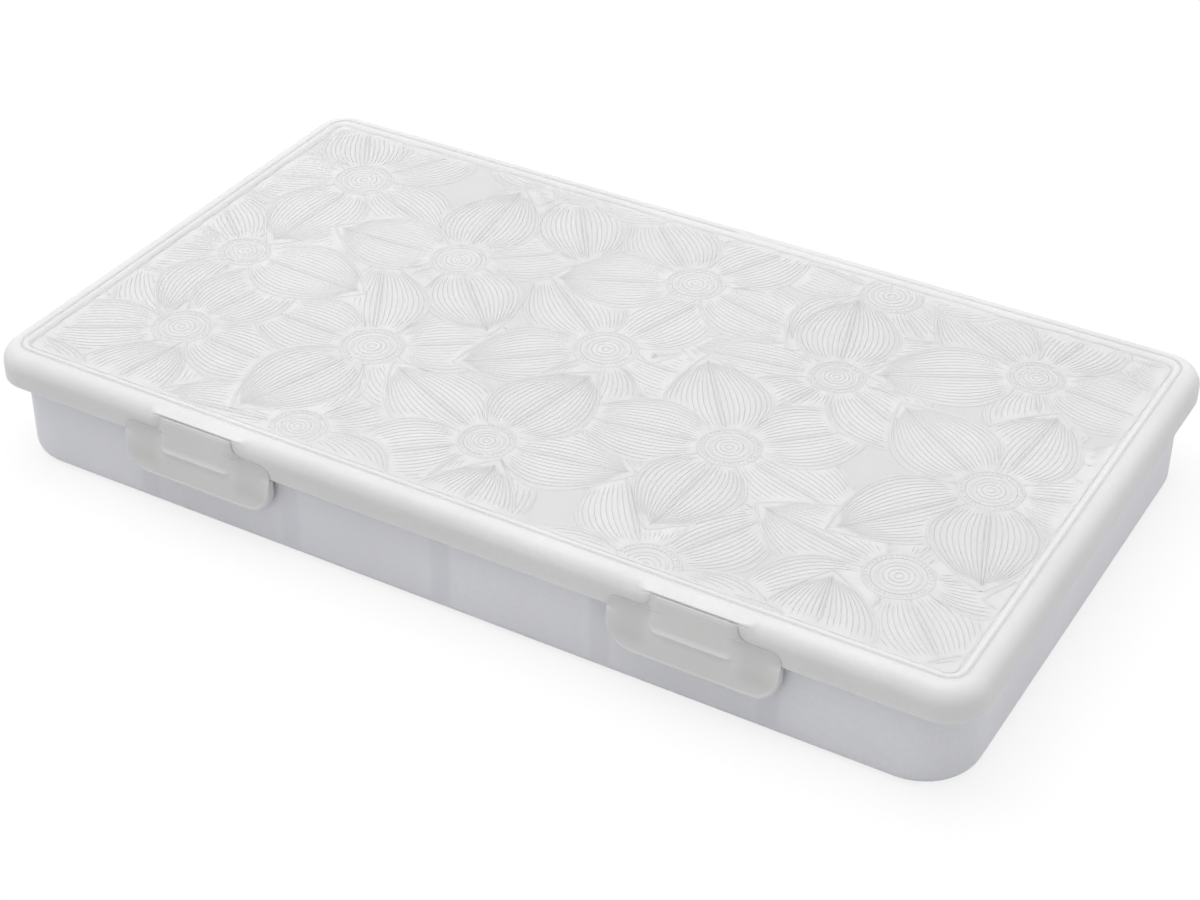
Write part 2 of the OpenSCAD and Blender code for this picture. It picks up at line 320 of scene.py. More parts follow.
def swept_shell(name, section, half_length, half_width, corner, arc_steps=28):
    """Carries a section round a rounded rectangle and closes its two ends with flat caps. The section
    is a line of (distance outward from the corners' centres, height)."""
    stations = []
    for quarter in range(4):
        sign_x = 1 if quarter in (0, 3) else -1
        sign_y = 1 if quarter in (0, 1) else -1
        centre = (sign_x * (half_length - corner), sign_y * (half_width - corner))
        for step in range(arc_steps + 1):
            angle = math.pi / 2 * (quarter + step / arc_steps)
            stations.append((centre, (math.cos(angle), math.sin(angle))))
    points = [(centre[0] + s * way[0], centre[1] + s * way[1], z)
              for s, z in section for centre, way in stations]
    return mesh_of(name, points, tube_faces(len(stations), len(section)))


def soften(mesh, radius):
    """Rounds every sharp edge of a simple solid."""
    shape = bmesh.new()
    shape.from_mesh(mesh)
    sharp = [e for e in shape.edges if e.calc_face_angle(0.0) > math.radians(30)]
    bmesh.ops.bevel(shape, geom=sharp, offset=radius, segments=3, affect="EDGES", clamp_overlap=True)
    bmesh.ops.recalc_face_normals(shape, faces=shape.faces)
    shape.to_mesh(mesh)
    shape.free()


def bar(points, left, right, radius=0.25 * MM):
    """A bar along X from its section in Y and Z, with softened edges."""
    corners = [(left, y, z) for y, z in points] + [(right, y, z) for y, z in points]
    mesh = mesh_of("bar", corners, tube_faces(len(points), 2))
    if radius > 0:
        soften(mesh, radius)
    return mesh


def block(low, high):
    """A box between two corners, with softened edges."""
    return bar([(low[1], low[2]), (high[1], low[2]), (high[1], high[2]), (low[1], high[2])],
               low[0], high[0])


def circle(y, z, radius, steps=40):
    """Section of a rod."""
    return [(y + radius * math.cos(2 * math.pi * i / steps), z + radius * math.sin(2 * math.pi * i / steps))
            for i in range(steps)]


def joined(meshes):
    """One mesh that holds several."""
    shape = bmesh.new()
    for mesh in meshes:
        shape.from_mesh(mesh)
    out = bpy.data.meshes.new("joined")
    shape.to_mesh(out)
    shape.free()
    return out


def is_closed(mesh):
    """Whether every edge of a mesh joins two faces."""
    shape = bmesh.new()
    shape.from_mesh(mesh)
    open_edges = [e for e in shape.edges if len(e.link_faces) < 2]
    faces = len(shape.faces)
    shape.free()
    return faces > 4 and not open_edges


def united(name, base, parts):
    """An object that fuses parts into a base mesh."""
    piece = new_object(name, base)
    tool = new_object(name + "_parts", joined(parts))
    union = piece.modifiers.new("union", "BOOLEAN")
    union.operation = "UNION"
    union.solver = "EXACT"
    union.object = tool
    graph = bpy.context.evaluated_depsgraph_get()
    fused = bpy.data.meshes.new_from_object(piece.evaluated_get(graph))
    piece.modifiers.clear()
    piece.data = fused
    bpy.data.objects.remove(tool)
    if not is_closed(fused):
        raise RuntimeError("the parts of %s did not fuse to a closed solid" % name)
    smooth(fused)
    return piece


def dress(piece, body, slot, material, *nodes):
    """Gives a piece its body, its material slot, its finish and the frame nodes that it stands for. slot is
    not used.
    """
    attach(piece, body)
    if nodes:
        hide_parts(*nodes)
    piece.data.materials.clear()
    piece.data.materials.append(material)
    return piece


class NodeSheet:
    """Places and links the nodes of a material in a few words."""

    def __init__(self, material):
        material.use_nodes = True
        self.tree = material.node_tree
        self.tree.nodes.clear()
        self.count = 0

    def add(self, kind, **inputs):
        """A node with its inputs set to values or linked to sockets."""
        node = self.tree.nodes.new(kind)
        node.location = (180 * self.count, 0)
        self.count += 1
        for name, value in inputs.items():
            self.put(node.inputs[name.replace("_", " ")], value)
        return node

    def put(self, socket, value):
        """Sets one input, or links it."""
        if isinstance(value, bpy.types.NodeSocket):
            self.tree.links.new(value, socket)
        else:
            socket.default_value = value

    def maths(self, operation, first, second=0.0, third=0.0):
        """The result of one sum."""
        node = self.add("ShaderNodeMath")
        node.operation = operation
        for socket, value in zip(node.inputs, (first, second, third)):
            self.put(socket, value)
        return node.outputs[0]

    def scaled(self, value, low, high, new_low, new_high):
        """A value mapped smoothly from one range to another."""
        node = self.add("ShaderNodeMapRange", Value=value)
        node.interpolation_type = "SMOOTHSTEP"
        for name, limit in (("From Min", low), ("From Max", high), ("To Min", new_low), ("To Max", new_high)):
            node.inputs[name].default_value = limit
        return node.outputs["Result"]

    def mixed(self, factor, first, second):
        """A colour between two."""
        node = self.add("ShaderNodeMix")
        node.data_type = "RGBA"
        self.put(node.inputs["Factor"], factor)
        self.put(node.inputs[6], first)
        self.put(node.inputs[7], second)
        return node.outputs[2]


def tinted(tint, factor=1.0):
    """A colour made lighter or darker, with its alpha."""
    return tuple(min(1.0, c * factor) for c in tint) + (1.0,)


def milky_plastic(name, tint, finish, shade=None, lightness=1.0, tones=False, spread=0.6):
    """Satin, cloudy polypropylene: faint flow clouds, a fine moulded grain, and light that spreads a
    little inside the wall. shade is a function that says where a painted shade darkens the wall, down to
    the lightness. With tones, the mesh carries a lightness of its own for every point. spread is the share
    of the light that spreads in the wall."""
    material = bpy.data.materials.new(name)
    sheet = NodeSheet(material)
    place = sheet.add("ShaderNodeTexCoord").outputs["Object"]
    clouds = sheet.add("ShaderNodeTexNoise", Vector=place, Scale=CLOUD_SCALE, Detail=3.0, Roughness=0.5)
    speckle = sheet.add("ShaderNodeTexNoise", Vector=place, Scale=SPECKLE_SCALE, Detail=2.0, Roughness=0.6)
    fine = sheet.add("ShaderNodeTexNoise", Vector=place, Scale=GRAIN_SCALE, Detail=2.0, Roughness=0.5)
    cloudy = sheet.scaled(clouds.outputs[0], 0.3, 0.7, 0.0, 1.0)
    base = sheet.mixed(cloudy, tinted(tint, 0.965), tinted(tint, 1.025))
    dust = sheet.scaled(speckle.outputs[0], 0.35, 0.7, 0.0, 0.35)
    base = sheet.mixed(dust, base, tinted(tint, 0.94))
    # A painted shade, mixed in where the shade function says
    if shade:
        base = sheet.mixed(shade(sheet, place), base, tinted(tint, lightness))
    if tones:
        tone = sheet.add("ShaderNodeAttribute")
        tone.attribute_name = "tone"
        base = sheet.mixed(tone.outputs["Fac"], base, tinted(tint, 0.93))
    rough = sheet.scaled(speckle.outputs[0], 0.3, 0.75, finish.roughness - 0.06, finish.roughness + 0.08)
    bump = sheet.add("ShaderNodeBump", Height=fine.outputs[0], Strength=0.5, Distance=0.02 * MM)
    shader = sheet.add("ShaderNodeBsdfPrincipled", Base_Color=base, Roughness=rough)
    sheet.put(shader.inputs["Normal"], bump.outputs[0])
    shader.inputs["IOR"].default_value = PLASTIC_IOR
    shader.inputs["Subsurface Weight"].default_value = spread
    shader.inputs["Subsurface Radius"].default_value = (1.0, 1.0, 1.0)
    shader.inputs["Subsurface Scale"].default_value = 2.5 * MM
    output = sheet.add("ShaderNodeOutputMaterial")
    sheet.put(output.inputs["Surface"], shader.outputs[0])
    return material


def painted_shade_of_guides(sheet, place):
    """Mask of a painted shade on the long walls, a soft band at each divider where guides would show through.
    """
    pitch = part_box("divider_4")[0].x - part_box("divider_3")[0].x
    band_edge, head_edge = (1.6 * MM, 3.6 * MM), (2.6 * MM, 4.6 * MM)
    head_foot, floor_edge = (22.5 * MM, 24.5 * MM), (1.5 * MM, 4.0 * MM)
    last_band = (2.4 * pitch, 2.45 * pitch)
    wall_face = (TRAY_HALF_WIDTH - 1.2 * MM, TRAY_HALF_WIDTH - 0.2 * MM)
    x, y, z = sheet.add("ShaderNodeSeparateXYZ", Vector=place).outputs
    phase = sheet.maths("FRACT", sheet.maths("MULTIPLY_ADD", x, 1 / pitch, 0.5))
    away = sheet.maths("MULTIPLY", sheet.maths("ABSOLUTE", sheet.maths("SUBTRACT", phase, 0.5)), pitch)
    band = sheet.scaled(away, *band_edge, 1.0, 0.0)
    head = sheet.scaled(away, *head_edge, 1.0, 0.0)
    upper = sheet.scaled(z, *head_foot, 0.0, 1.0)
    shape = sheet.maths("MAXIMUM", band, sheet.maths("MULTIPLY", head, upper))
    within = sheet.scaled(sheet.maths("ABSOLUTE", x), *last_band, 1.0, 0.0)
    wall = sheet.scaled(sheet.maths("ABSOLUTE", y), *wall_face, 0.0, 1.0)
    low = sheet.scaled(z, *floor_edge, 0.0, 1.0)
    return sheet.maths("MULTIPLY", sheet.maths("MULTIPLY", shape, within), sheet.maths("MULTIPLY", wall, low))


def painted_shade_on_flanks(sheet, place):
    """Mask of a painted shade on a latch's flanks, where they lie in front of the lid's skirt beside the
    neck.
    """
    neck_side, tab_side, skirt_foot = (10 * MM, 14 * MM), (17 * MM, 22.5 * MM), (13.5 * MM, 18 * MM)
    x, y, z = sheet.add("ShaderNodeSeparateXYZ", Vector=place).outputs
    from_latch = sheet.maths("SUBTRACT", sheet.maths("ABSOLUTE", x), FILM_HINGE[0])
    across = sheet.maths("ABSOLUTE", from_latch)
    start = sheet.scaled(across, *neck_side, 0.0, 1.0)
    end = sheet.scaled(across, *tab_side, 1.0, 0.3)
    low = sheet.scaled(z, *skirt_foot, 0.0, 1.0)
    return sheet.maths("MULTIPLY", sheet.maths("MULTIPLY", start, end), low)


def lid_section(sizes):
    """The lid's section, from the sunk panel over the rim and the skirt to the underside. A soft slope
    leads up from the panel to the rim."""
    top = LID_HIGH.z
    floor = top - sizes.panel_drop
    edge = sizes.corner - sizes.panel_inset
    bead = sizes.bead_width
    rim = top - sizes.bead_height
    inner = sizes.corner - sizes.wall
    step = edge + sizes.wall
    skirt = top - sizes.skirt
    return rounded([
        (0.5 * MM, floor, 0), (edge - bead, floor, 0.3 * MM), (edge + 1.3 * bead, rim, 0.5 * MM),
        (sizes.corner, rim, sizes.roundover),
        (sizes.corner, skirt, sizes.lip), (inner, skirt, sizes.lip),
        (inner, top - sizes.wall, sizes.roundover - sizes.wall), (step, top - sizes.wall, 0.4 * MM),
        (step, floor - sizes.wall, 0.3 * MM), (0.5 * MM, floor - sizes.wall, 0)])


def clip_section(tray):
    """Outline of the lid's clip: a ring round the pin, open below, with a web to the skirt."""
    y, z = HINGE[1], HINGE[2]
    bore = tray.pin + 0.05 * MM
    mouth = 0.775 * tray.pin
    outer_mouth = math.asin(mouth / tray.knuckle)
    inner_mouth = math.asin(mouth / bore)
    root = HALF_WIDTH - EMBEDDED

    def arc(radius, start, end, steps):
        return [(y + radius * math.cos(start + (end - start) * i / steps),
                 z + radius * math.sin(start + (end - start) * i / steps)) for i in range(steps + 1)]

    half_turn = math.pi / 2
    return (arc(tray.knuckle, outer_mouth - half_turn, half_turn, 16)
            + [(root, z + tray.knuckle), (root, z)]
            + arc(tray.knuckle, 2 * half_turn, 3 * half_turn - outer_mouth, 8)
            + arc(bore, 3 * half_turn - inner_mouth, inner_mouth - half_turn, 28))


def smooth_step(value):
    """Rises smoothly from 0 to 1 while the value does, and stays level outside."""
    value = np.clip(value, 0.0, 1.0)
    return value * value * (3 - 2 * value)


def shelf(lid, latch, middle):
    """The shelf that squares off the roundover above a latch, with the film hinge's groove and bead in
    its front. Its ends run softly into the roundover."""
    face = -HALF_WIDTH
    top = FILM_HINGE[2]
    centre_y, centre_z = face + lid.roundover, LID_HIGH.z - lid.roundover
    buried = lid.roundover - 0.15 * MM
    groove = top - latch.crease
    proud = [(face, centre_z - 0.5 * MM), (face, centre_z), (face, groove - 0.5 * MM),
             (face + 0.06 * MM, groove - 0.1 * MM), (face + 0.35 * MM, groove + 0.05 * MM),
             (face + 0.35 * MM, top - 0.12 * MM), (face + 0.08 * MM, top + 0.05 * MM),
             (face + 0.2 * MM, top + 0.22 * MM), (face + 0.45 * MM, top + 0.28 * MM),
             (face + 0.9 * MM, top + 0.14 * MM), (face + 2 * MM, top + 0.45 * MM),
             (centre_y - lid.roundover * math.sin(math.radians(18)),
              centre_z + lid.roundover * math.cos(math.radians(18)) - 0.03 * MM)]
    angles = np.radians(np.linspace(96, 18, len(proud)))
    wall = np.column_stack([centre_y - buried * np.sin(angles), centre_z + buried * np.cos(angles)])
    middle_wall = lid.roundover - lid.wall / 2
    inside = [(centre_y - middle_wall * math.sin(a), centre_z + middle_wall * math.cos(a))
              for a in np.radians([20, 50, 96])]
    half = lid.shelf_width / 2
    # Length over which each end of the shelf runs out into the roundover
    run = 4.5 * MM
    ends = np.linspace(half - 0.2 * MM, half + run, 24)
    stations = np.concatenate([-ends[::-1], ends])
    points = []
    for x in stations:
        share = smooth_step((half + run - 0.1 * MM - abs(x)) / run)
        front = wall + share * (np.array(proud) - wall)
        points += [(middle + x, y, z) for y, z in front.tolist() + inside]
    return mesh_of("shelf", points, tube_faces(len(proud) + len(inside), len(stations)))


class THREADBOX_OT_lid(bpy.types.Operator):
    """Builds the lid's shell with its rim, skirt, latch shelves and hinge clips"""
    bl_idname = "threadbox.lid"
    bl_label = "Lid shell"

    def execute(self, context):
        settings = context.scene.thread_box
        lid, tray = settings.lid, settings.tray
        shell = swept_shell("lid_shell", lid_section(lid), HALF_LENGTH, HALF_WIDTH, lid.corner)
        parts = []
        for side in (-1, 1):
            parts.append(shelf(lid, settings.latch, side * FILM_HINGE[0]))
            hinge = side * tray.hinge_offset
            parts.append(bar(clip_section(tray), hinge - tray.clip / 2, hinge + tray.clip / 2, 0.15 * MM))
        piece = united("lid_shell", shell, parts)
        finish = settings.finish
        dress(piece, "lid", "lid", milky_plastic("milky_lid", finish.lid_colour, finish), "lid")
        return {"FINISHED"}


class Motif:
    """One seed head or leaf of the pattern, in the panel's plane."""

    def __init__(self, x, y, size, turn, rank):
        self.x, self.y, self.size, self.turn, self.rank = x, y, size, turn, rank

    def local(self, x, y):
        """Places in the motif's own frame."""
        dx, dy = x - self.x, y - self.y
        c, s = math.cos(self.turn), math.sin(self.turn)
        return c * dx + s * dy, c * dy - s * dx

    def world(self, u, v):
        """Places of the motif's own frame on the panel, as rows of x and y."""
        c, s = math.cos(self.turn), math.sin(self.turn)
        return np.stack([self.x + c * u - s * v, self.y + s * u + c * v], axis=1)


class SeedHead(Motif):
    """A round seed head of rings, with short spokes between the outer two."""
    tone = 0.3
    bold_rings = (1.0, 0.62)
    fine_rings = (0.80, 0.45, 0.29, 0.13)
    spoke_reach = (0.83, 0.96)

    def inside(self, x, y):
        return np.hypot(x - self.x, y - self.y) < self.size

    def swell(self, x, y):
        """Share of the full swelling at a place."""
        out = np.hypot(x - self.x, y - self.y) / self.size
        return 0.9 - 0.5 * out ** 2 + 0.12 * np.cos(8 * math.pi * out)

    def outlines(self):
        """The outer rings."""
        turn = np.linspace(0, 2 * math.pi, 61)
        return [self.world(share * self.size * np.cos(turn), share * self.size * np.sin(turn))
                for share in self.bold_rings]

    def veins(self, number):
        """The inner rings and the spokes."""
        turn = np.linspace(0, 2 * math.pi, 49)
        lines = [self.world(share * self.size * np.cos(turn), share * self.size * np.sin(turn))
                 for share in self.fine_rings]
        for spoke in range(2 * number):
            angle = spoke * math.pi / number
            way = np.linspace(*self.spoke_reach, 3) * self.size
            lines.append(self.world(way * math.cos(angle), way * math.sin(angle)))
        return lines


class Leaf(Motif):
    """A broad pointed leaf, with veins that run along it."""

    def __init__(self, x, y, size, turn, rank, width, tone):
        super().__init__(x, y, size, turn, rank)
        self.width, self.tone = width, tone

    def half_width(self, along):
        return self.width / 2 * np.sin(math.pi * np.clip(along, 0, 1) ** 0.8) ** 0.9

    def inside(self, x, y):
        u, v = self.local(x, y)
        along = u / self.size
        return (along > 0) & (along < 1) & (np.abs(v) < self.half_width(along))

    def swell(self, x, y):
        u, v = self.local(x, y)
        across = np.abs(v) / np.maximum(self.half_width(u / self.size), 1e-6)
        return np.clip(1 - across ** 3, 0, 1) * (0.35 + 0.65 * np.clip(across / 0.35, 0, 1))

    def outlines(self):
        """The leaf's edge and its middle rib."""
        along = (1 - np.cos(np.linspace(0, math.pi, 44))) / 2
        width = self.half_width(along)
        rib = np.linspace(0.0, 0.93, 24)
        return [self.world(along * self.size, width), self.world(along * self.size, -width),
                self.world(rib * self.size, 0 * rib)]

    def veins(self, number):
        """Veins in even steps from the middle rib to the edge."""
        lines = []
        for step in np.linspace(-0.89, 0.89, number):
            along = np.linspace(0.04 + 0.1 * abs(step), 0.97 - 0.12 * abs(step), 16)
            lines.append(self.world(along * self.size, step * self.half_width(along)))
        return lines


def pattern(sizes):
    """The seed heads and leaves of the whole panel, the topmost last."""
    motifs = []
    columns = math.ceil(HALF_LENGTH / sizes.column_pitch)
    rows = math.ceil(HALF_WIDTH / sizes.row_pitch) + 1
    for column in range(-columns, columns + 1):
        for row in range(-rows, rows + 1):
            shift = 0.5 if column % 2 else 0.0
            x = (column + 0.10 * math.sin(2.1 * row + column)) * sizes.column_pitch
            y = (row + shift + 0.08 * math.cos(1.7 * column + 2 * row)) * sizes.row_pitch
            turn = 0.7 * column + 1.1 * row
            head = sizes.seed_head * HEAD_SIZES[(column + 2 * row) % len(HEAD_SIZES)]
            motifs.append(SeedHead(x, y, head, turn, 100))
            for leaf in range(LEAVES_ROUND_A_HEAD):
                way = turn + leaf * 2 * math.pi / LEAVES_ROUND_A_HEAD + 0.12 * math.sin(3 * leaf + column)
                stalk = 0.5 * head
                motifs.append(Leaf(x + stalk * math.cos(way), y + stalk * math.sin(way),
                                   sizes.leaf * (0.9 + 0.05 * ((leaf + row) % 3)), way,
                                   (7 * column + 5 * row + 2 * leaf) % 11, sizes.leaf_width,
                                   LEAF_TONES[(2 * leaf + column + row) % len(LEAF_TONES)]))
    motifs.sort(key=lambda m: (m.rank, m.x, m.y))
    return motifs


def relief(sizes, motifs, half_x, half_y):
    """Heights of the panel's swelling on an even grid, and how dark each place is."""
    xs = np.linspace(-half_x, half_x, int(2 * half_x / sizes.grid_step) + 1)
    ys = np.linspace(-half_y, half_y, int(2 * half_y / sizes.grid_step) + 1)
    x, y = np.meshgrid(xs, ys)
    heights = np.zeros_like(x)
    tones = np.full_like(x, PLAIN_TONE)
    for motif in motifs:
        near = np.hypot(x - motif.x, y - motif.y) < 1.1 * motif.size
        inside = np.zeros_like(near)
        inside[near] = motif.inside(x[near], y[near])
        heights[inside] = sizes.swell * motif.swell(x[inside], y[inside])
        tones[inside] = motif.tone
    for _ in range(2):
        wide = np.pad(heights, 1, mode="edge")
        heights = (wide[:-2, 1:-1] + wide[2:, 1:-1] + wide[1:-1, :-2] + wide[1:-1, 2:]
                   + 2 * wide[1:-1, 1:-1]) / 6
    return xs, ys, heights, tones


def height_at(xs, ys, heights, points):
    """Height of the swelling under points of a line."""
    i = np.clip((points[:, 0] - xs[0]) / (xs[1] - xs[0]), 0, len(xs) - 1.001)
    j = np.clip((points[:, 1] - ys[0]) / (ys[1] - ys[0]), 0, len(ys) - 1.001)
    a, b = i.astype(int), j.astype(int)
    s, t = i - a, j - b
    return ((1 - s) * (1 - t) * heights[b, a] + s * (1 - t) * heights[b, a + 1]
            + (1 - s) * t * heights[b + 1, a] + s * t * heights[b + 1, a + 1])


def shown_runs(line, owner, motifs, half_x, half_y):
    """The stretches of a motif's line that no higher motif covers and that lie on the panel."""
    x, y = line[:, 0], line[:, 1]
    shown = (np.abs(x) < half_x) & (np.abs(y) < half_y)
    for motif in motifs[motifs.index(owner) + 1:]:
        if math.hypot(motif.x - owner.x, motif.y - owner.y) < 1.1 * (motif.size + owner.size):
            shown &= ~motif.inside(x, y)
    cuts = np.flatnonzero(np.diff(np.concatenate([[0], shown.astype(int), [0]])))
    return [line[a:b] for a, b in zip(cuts[::2], cuts[1::2]) if b - a >= 3]


def ridge(line, heights, base, width, crest):
    """A fine ridge along a line: two flanks and a sunk bottom, drawn to a point at both ends."""
    end_share, sunk = 0.15, 0.12 * MM
    along = np.gradient(line, axis=0)
    along /= np.linalg.norm(along, axis=1)[:, None] + 1e-12
    beside = np.stack([-along[:, 1], along[:, 0]], axis=1)
    taper = np.ones(len(line))
    taper[0] = taper[-1] = end_share
    left = line + beside * (taper * width / 2)[:, None]
    right = line - beside * (taper * width / 2)[:, None]
    low = base + heights - sunk
    top = base + heights + crest * taper
    points = np.concatenate([np.column_stack([left, low]), np.column_stack([line, top]),
                             np.column_stack([right, low])])
    n = len(line)
    faces = []
    for a, b in ((0, n), (n, 2 * n), (2 * n, 0)):
        faces += [(a + i, b + i, b + i + 1, a + i + 1) for i in range(n - 1)]
    faces += [(0, 2 * n, n), (n - 1, 2 * n - 1, 3 * n - 1)]
    return points, faces


def stacked(solids):
    """The points and faces of several small solids as one set."""
    points, faces, start = [], [], 0
    for new_points, new_faces in solids:
        points.append(new_points)
        faces += [tuple(start + i for i in face) for face in new_faces]
        start += len(new_points)
    return np.concatenate(points).tolist(), faces


def frame_line(lid, inset):
    """A line round the lid at an inset from its sides, from the middle of the back and a little past it."""
    radius = max(lid.corner - inset, 1.5 * MM)
    x, y = HALF_LENGTH - inset - radius, HALF_WIDTH - inset - radius
    line = [(0.0, y + radius)]
    for quarter, (centre_x, centre_y) in enumerate(((x, y), (x, -y), (-x, -y), (-x, y))):
        for angle in np.radians(90 - 90 * quarter - np.linspace(0, 90, 13)):
            line.append((centre_x + radius * math.cos(angle), centre_y + radius * math.sin(angle)))
    line += [(0.0, y + radius), (3 * MM, y + radius)]
    return np.array(line)


class THREADBOX_OT_emboss(bpy.types.Operator):
    """Builds the sunk panel's embossed skin: swelling leaves and seed heads, with fine ridges on them"""
    bl_idname = "threadbox.emboss"
    bl_label = "Embossed panel"

    def execute(self, context):
        settings = context.scene.thread_box
        lid, sizes = settings.lid, settings.emboss
        base = LID_HIGH.z - lid.panel_drop
        half_x, half_y = HALF_LENGTH - lid.panel_inset, HALF_WIDTH - lid.panel_inset
        motifs = pattern(sizes)
        xs, ys, heights, tones = relief(sizes, motifs, half_x + 0.2 * MM, half_y + 0.2 * MM)
        self.skin(settings, base, xs, ys, heights, tones)
        solids = []
        edge_x, edge_y = half_x - 1.2 * MM, half_y - 1.2 * MM
        for motif in motifs:
            kinds = [(motif.outlines(), sizes.outline_width, sizes.outline_height),
                     (motif.veins(sizes.vein_count), sizes.vein_width, sizes.vein_height)]
            for lines, width, crest in kinds:
                for line in lines:
                    for run in shown_runs(line, motif, motifs, edge_x, edge_y):
                        under = height_at(xs, ys, heights, run)
                        solids.append(ridge(run, under, base, width, crest))
        for inset, height in ((lid.panel_inset + lid.bead_width, base),
                              (lid.roundover + lid.bead_width, LID_HIGH.z - lid.bead_height)):
            line = frame_line(lid, inset)
            crest = min(0.3 * MM, LID_HIGH.z - 0.01 * MM - height)
            solids.append(ridge(line, np.zeros(len(line)), height, 2 * lid.bead_width, crest))
        mesh = mesh_of("lid_emboss_ridges", *stacked(solids))
        smooth(mesh, math.radians(75))
        piece = new_object("lid_emboss_ridges", mesh)
        finish = settings.finish
        # The ridges' material paints a highlight: a whiter copy of the lid's plastic
        dress(piece, "lid", "lid", milky_plastic("painted_highlight_ridges", finish.painted_highlight_on_ridges, finish))
        return {"FINISHED"}

    def skin(self, settings, base, xs, ys, heights, tones):
        """The panel's swelling surface, closed to a thin slab."""
        x, y = np.meshgrid(xs, ys)
        lift, slab = 0.02 * MM, 0.3 * MM
        top = np.column_stack([x.ravel(), y.ravel(), (base + lift + heights).ravel()])
        columns, rows = len(xs), len(ys)
        faces = grid_faces(columns, rows)
        border = grid_border(columns, rows)
        low = top[border].copy()
        low[:, 2] = base - slab
        first = len(top)
        turn = len(border)
        faces += [(border[i], first + i, first + (i + 1) % turn, border[(i + 1) % turn]) for i in range(turn)]
        faces.append(tuple(first + i for i in range(turn)))
        mesh = mesh_of("lid_panel_skin", np.concatenate([top, low]).tolist(), faces)
        smooth(mesh, math.radians(60))
        tone = mesh.attributes.new("tone", "FLOAT", "POINT")
        tone.data.foreach_set("value", np.concatenate([tones.ravel(), np.full(len(low), PLAIN_TONE)]))
        piece = new_object("lid_panel_skin", mesh)
        finish = settings.finish
        # The panel's material paints light: a lighter copy of the lid's plastic
        dress(piece, "lid", "lid", milky_plastic("painted_light_panel", finish.painted_light_for_panel, finish, tones=True))


def hook_foot(latch):
    """Height of the lower side of a latch's hook."""
    return FLAP_LOW.z + latch.ridge_height - HOOK_DROP


def tray_section(sizes):
    """The tray's section, from under its floor round the wall to the floor's upper side."""
    wall, corner, top = sizes.wall, sizes.corner, TRAY_HIGH.z
    return rounded([
        (0.5 * MM, 0, 0), (corner, 0, sizes.roundover), (corner, top, sizes.rim_radius),
        (corner - wall, top, sizes.rim_radius), (corner - wall, wall, sizes.roundover - wall),
        (0.5 * MM, wall, 0)])


class THREADBOX_OT_tray(bpy.types.Operator):
    """Builds the tray with its divider guides, latch catches and hinge ears"""
    bl_idname = "threadbox.tray"
    bl_label = "Tray"

    def execute(self, context):
        settings = context.scene.thread_box
        sizes = settings.tray
        shell = swept_shell("tray_shell", tray_section(sizes), TRAY_HIGH.x, TRAY_HALF_WIDTH, sizes.corner)
        parts = self.guides(sizes) + self.catches(settings) + self.ears(settings)
        piece = united("tray_shell", shell, parts)
        finish = settings.finish
        # The tray's material paints a shade in soft bands at the guides
        plastic = milky_plastic("milky_tray_with_painted_bands", finish.tray_colour, finish, painted_shade_of_guides, finish.painted_band_lightness)
        dress(piece, "tray", "tray", plastic, "tray")
        return {"FINISHED"}

    def guides(self, sizes):
        """A pair of ribs on each long wall for every divider."""
        face = TRAY_HALF_WIDTH - sizes.wall
        top = DIVIDER_TOP - sizes.head_height - sizes.guide_gap
        slot = sizes.guide_gap + DIVIDER_HALF
        parts = []
        for name in DIVIDERS:
            low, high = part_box(name)
            middle = (low.x + high.x) / 2
            for side in (-1, 1):
                inner, outer = side * (face - sizes.guide_depth), side * (face + EMBEDDED)
                for hand in (-1, 1):
                    near, far = middle + hand * slot, middle + hand * (slot + sizes.guide_rib)
                    parts.append(block((min(near, far), min(inner, outer), sizes.wall - EMBEDDED),
                                       (max(near, far), max(inner, outer), top)))
        return parts

    def catches(self, settings):
        """The rib below the rim that each latch snaps under."""
        face, front = -TRAY_HALF_WIDTH, TRAY_LOW.y
        bottom = hook_foot(settings.latch) + HOOK_HEIGHT + 0.3 * MM
        section = [(face + EMBEDDED, bottom - 0.2 * MM), (front, bottom), (front, bottom + 0.8 * MM),
                   (face + EMBEDDED, bottom + 2.6 * MM)]
        half = settings.tray.catch_width / 2
        return [bar(section, side * FILM_HINGE[0] - half, side * FILM_HINGE[0] + half, 0.15 * MM)
                for side in (-1, 1)]

    def ears(self, settings):
        """The hinge ears with the pin between them."""
        sizes = settings.tray
        y, z = HINGE[1], HINGE[2]
        top = LID_HIGH.z - settings.lid.skirt - RUNNING_GAP
        root = TRAY_HALF_WIDTH - EMBEDDED
        reach = sizes.clip / 2 + RUNNING_GAP
        start = math.asin((z - top) / sizes.knuckle)
        knuckle = [(y + sizes.knuckle * math.cos(a), z + sizes.knuckle * math.sin(a))
                   for a in np.linspace(-math.pi / 2, math.pi + start, 30)]
        web = [(root, top), (root, top - 6 * MM)]
        parts = []
        for side in (-1, 1):
            hinge = side * sizes.hinge_offset
            parts.append(bar(circle(y, z, sizes.pin), hinge - reach - 1 * MM, hinge + reach + 1 * MM, 0))
            for hand in (-1, 1):
                inner, outer = hinge + hand * reach, hinge + hand * (reach + sizes.ear)
                parts.append(bar(knuckle + web, min(inner, outer), max(inner, outer), 0.2 * MM))
        return parts


